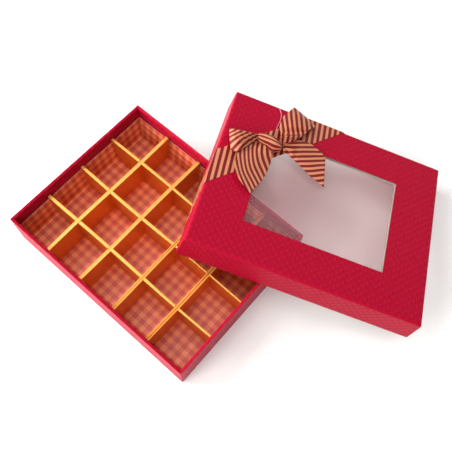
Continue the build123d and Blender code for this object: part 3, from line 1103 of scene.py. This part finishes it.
right_tail_rows = [
    [(12.7, 3.0, 5.0, 1.0), (13.6, 0.1, 5.5, 1.6), (14.8, -1.8, 4.0, 2.2)],
    [(21.0, 11.7, 5.2, 0.1), (22.2, 2.0, 6.0, 1.9), (22.8, -4.8, 3.2, 3.5)],
    [(29.0, 16.3, 4.4, 0.1), (32.4, 3.4, 4.2, 2.8), (33.2, -9.3, 1.8, 5.4)],
    [(38.2, 17.7, 3.2, 0.8), (42.3, 1.4, 2.6, 4.2), (44.1, -14.9, 1.2, 7.3)],
    [(46.6, 15.1, 2.2, 2.1), (50.8, -3.5, 1.6, 6.0), (52.8, -18.6, 0.9, 8.7)],
    [(54.4, 11.1, 1.6, 3.7), (57.2, -5.5, 1.2, 7.0), (59.7, -21.5, 0.8, 9.8)],
]


def smooth_between(places, t):
    """A point on the smooth curve through the places, at t of the way along it."""
    last = len(places) - 1
    index = min(int(t * last), last - 1)
    local = t * last - index
    here, after = places[index], places[index + 1]
    before = places[index - 1] if index else here * 2 - after
    beyond = places[index + 2] if index + 2 <= last else after * 2 - here
    return 0.5 * (
        2 * here
        + (after - before) * local
        + (2 * before - 5 * here + 4 * after - beyond) * local ** 2
        + (3 * here - before - 3 * after + beyond) * local ** 3
    )


def bow_sheet(rows, pleats):
    """A smooth sheet through rows of places, gathered into pleats where it leaves the knot."""
    base = Vector((knot_x, knot_y, bow_base))
    rows = [[Vector(place) for place in row] for row in rows]
    count = (len(rows) - 1) * bow_along_steps
    lines = []
    for step in range(count + 1):
        t = step / count
        row = [smooth_between([line[column] for line in rows], t) for column in range(len(rows[0]))]
        lines.append([smooth_between(row, k / bow_across_steps) for k in range(bow_across_steps + 1)])
    walked = 0.0
    points, places = [], []
    for step, line in enumerate(lines):
        width = sum((b.xyz - a.xyz).length for a, b in zip(line, line[1:]))
        fade = max(0.0, 1 - step / count / pleat_reach)
        depth = fade * min(pleat_limit, math.sqrt(max(0.0, ribbon_width ** 2 - width ** 2)) / (4 * pleats))
        if step:
            middle = bow_across_steps // 2
            walked += (line[middle].xyz - lines[step - 1][middle].xyz).length
        for k, place in enumerate(line):
            wave = depth * math.sin(math.tau * pleats * k / bow_across_steps)
            points.append(base + place.xyz + Vector((0, 0, wave)))
            places.append((stripe_pitch * (place.w + 0.5), walked))
    return points, places, walked


bow_pieces = [
    ("bow_left_loop", "bow_loop_left", left_loop_rows, 5),
    ("bow_right_loop", "bow_loop_right", right_loop_rows, 5),
    ("bow_left_tail", "bow_tail_left", left_tail_rows, 4),
    ("bow_right_tail", "bow_tail_right", right_tail_rows, 4),
]
for piece_name, node_name, rows, pleats in bow_pieces:
    bow_points, bow_places, bow_length = bow_sheet(rows, pleats)
    ribbon_sheet(piece_name, node_name, bow_points, bow_across_steps + 1, bow_places)

# The bow's middle: a short fold of the same ribbon, puffed up between its two pinches and bound
# with the thread. Folds run along it, and it swells towards the window.
knot_length = 25.0
knot_width = 13.0
knot_height = 10.0
knot_rows = 25
knot_columns = 64
knot_stripes = 8
knot_stripe_slant = 0.02
knot_shift = 1.0
knot_slant = 0.12
knot_pinch = 0.28
knot_roundness = 2.2
knot_fullness = 0.7
broad_folds = 4
broad_fold_depth = 0.10
broad_fold_slant = 1.6
broad_fold_start = 0.8
narrow_folds = 9
narrow_fold_depth = 0.04
narrow_fold_slant = 2
lobe_swell = 0.45
lobe_place = 0.45
lobe_reach = 0.55


def puffed_middle():
    """Closed rings along the bow's middle, pinched at both ends and folded along its length."""
    base = Vector((knot_x, knot_y, bow_base))
    points, places = [], []
    for row in range(knot_rows):
        share = 2 * row / (knot_rows - 1) - 1
        swell = knot_pinch + (1 - knot_pinch) * (1 - abs(share) ** knot_roundness) ** knot_fullness
        lobe_here = lobe_swell * max(0.0, 1 - abs(share - lobe_place) / lobe_reach)
        for column in range(knot_columns + 1):
            turn = math.tau * column / knot_columns
            broad = 1 + math.cos(broad_folds * turn + broad_fold_slant * share + broad_fold_start)
            narrow = math.cos(narrow_folds * turn - narrow_fold_slant * share)
            folds = 1 - broad_fold_depth * broad - narrow_fold_depth * narrow
            lobe = 1 + lobe_here * max(0.0, -math.cos(turn))
            across = knot_width / 2 * swell * folds * lobe * math.cos(turn)
            height = knot_height / 2 * (1 + swell * folds * math.sin(turn))
            along = share * knot_length / 2
            points.append(base + Vector((along, across + knot_shift - knot_slant * along, height)))
            stripe = knot_stripes * column / knot_columns + knot_stripe_slant * along
            places.append((stripe_pitch * stripe, along))
    return points, places


knot_points, knot_places = puffed_middle()
ribbon_sheet("bow_puffed_middle", "bow_knot", knot_points, knot_columns + 1, knot_places)

# The tie thread: clear pink nylon, wound round the bow's neck. Its free end lies in a slack
# curve over the lid behind the knot.
nylon_colour = "E6A0B4"
# The thread's pale patches are painted glints.
nylon_glint_colour = "F0D0D8"
nylon_roughness = 0.15
nylon_cover = 0.42
thread_diameter = 0.6
thread_route = [
    (2.6, 6.9, 5.0), (3.0, 10.6, 3.0), (3.6, 15.4, 0.9), (3.5, 21.0, 0.6), (3.9, 27.0, 0.5),
    (4.8, 33.0, 0.8), (4.4, 38.5, 1.3), (2.2, 43.4, 1.7), (-0.6, 47.2, 1.6),
]


def nylon():
    """Nylon thread: glossy and half clear, so it glints where it bends. The pale patches along it are
    painted glints.
    """
    material, tree = new_material("clear_pink_nylon")
    place = in_millimetres(tree)
    tone = node(tree, "ShaderNodeTexNoise", {"Vector": place, "Scale": 1 / plain_fibre, "Detail": 1.0})
    colour = node(
        tree,
        "ShaderNodeMix",
        {"Factor": tone.outputs["Fac"], "A": linear(nylon_colour), "B": linear(nylon_glint_colour)},
        data_type="RGBA",
    )
    shader = node(
        tree,
        "ShaderNodeBsdfPrincipled",
        {"Base Color": colour.outputs["Result"], "Roughness": nylon_roughness, "Alpha": nylon_cover},
    )
    node(tree, "ShaderNodeOutputMaterial", {"Surface": shader.outputs["BSDF"]})
    return material


nylon_thread = nylon()
dress(["bow_tie_thread"], nylon_thread)
thread_curve = bpy.data.curves.new("loose_thread_end", "CURVE")
thread_curve.dimensions = "3D"
thread_curve.bevel_depth = thread_diameter / 2000
thread_curve.bevel_resolution = 4
thread_curve.use_fill_caps = True
spline = thread_curve.splines.new("NURBS")
spline.points.add(len(thread_route) - 1)
thread_places = [lid_place @ (Vector((knot_x, knot_y, bow_base)) + Vector(place)) for place in thread_route]
for point, place in zip(spline.points, thread_places):
    point.co = (*place, 1.0)
spline.order_u = 3
spline.use_endpoint_u = True
spline.resolution_u = 8
thread_curve.materials.append(nylon_thread)
thread = bpy.data.objects.new("loose_thread_end", thread_curve)
bpy.context.scene.collection.objects.link(thread)
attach(thread, "lid")
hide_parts("bow_thread_end")

# The table, the light and the view: a white table top under soft square lights all round, the
# strongest of them low at the left. The camera stands where the photograph was taken from.
table_colour = "FBFAF8"
table_roughness = 0.9
table_size = 2.6
camera_place = (0.16338, -0.12199, 0.52820)
camera_turn = (22.5911, -2.0294, 40.9133)
camera_lens = 46.993
camera_sensor = 36.0
soft_lights = (
    ("key_light", (-0.38, -1.51, 0.90), 0.8, 19.0),
    ("side_light", (-1.28, -0.80, 0.60), 0.8, 34.0),
    ("near_light", (0.90, -1.04, 1.16), 0.8, 11.2),
    ("top_light", (-0.05, 0.06, 2.30), 1.6, 21.0),
    ("left_light", (-1.16, -0.02, 1.38), 0.8, 16.0),
    ("far_light", (0.10, 1.38, 1.16), 0.8, 6.0),
)
world_colour = "F4F4F8"
world_level = 0.05


def white_table():
    """A white table top: matt and even."""
    material, tree = new_material("white_table_top")
    shader = node(
        tree,
        "ShaderNodeBsdfPrincipled",
        {"Base Color": linear(table_colour), "Roughness": table_roughness},
    )
    node(tree, "ShaderNodeOutputMaterial", {"Surface": shader.outputs["BSDF"]})
    return material


half = table_size / 2
table_mesh = bpy.data.meshes.new("table_top")
table_mesh.from_pydata(
    [(-half, -half, 0), (half, -half, 0), (half, half, 0), (-half, half, 0)], [], [(0, 1, 2, 3)]
)
table_mesh.materials.append(white_table())
table = bpy.data.objects.new("table_top", table_mesh)
bpy.context.scene.collection.objects.link(table)


def soft_light(name, place, size, power):
    """A square light that faces the middle of the object."""
    lamp = bpy.data.lights.new(name, "AREA")
    lamp.size = size
    lamp.energy = power
    holder = bpy.data.objects.new(name, lamp)
    holder.location = place
    holder.rotation_euler = (-Vector(place)).to_track_quat("-Z", "Y").to_euler()
    bpy.context.scene.collection.objects.link(holder)


for light_name, light_place, light_size, light_power in soft_lights:
    soft_light(light_name, light_place, light_size, light_power)

world = bpy.data.worlds.new("studio")
world.use_nodes = True
bpy.context.scene.world = world
world.node_tree.nodes.clear()
rays = node(world.node_tree, "ShaderNodeLightPath").outputs
seen = node(
    world.node_tree,
    "ShaderNodeMath",
    {0: rays["Is Camera Ray"], 1: rays["Is Glossy Ray"]},
    operation="MAXIMUM",
)
seen_or_through = node(
    world.node_tree,
    "ShaderNodeMath",
    {0: seen.outputs[0], 1: rays["Is Transmission Ray"]},
    operation="MAXIMUM",
)
sky_level = node(
    world.node_tree,
    "ShaderNodeMapRange",
    {"Value": seen_or_through.outputs[0], "To Min": world_level, "To Max": 1.0},
)
sky = node(
    world.node_tree,
    "ShaderNodeBackground",
    {"Color": linear(world_colour), "Strength": sky_level.outputs["Result"]},
)
node(world.node_tree, "ShaderNodeOutputWorld", {"Surface": sky.outputs[0]})
bpy.context.scene.view_settings.view_transform = "Standard"

lens = bpy.data.cameras.new("photo_view")
lens.lens = camera_lens
lens.sensor_width = camera_sensor
camera = bpy.data.objects.new("photo_view", lens)
camera.location = camera_place
camera.rotation_euler = [math.radians(angle) for angle in camera_turn]
bpy.context.scene.collection.objects.link(camera)
bpy.context.scene.camera = camera
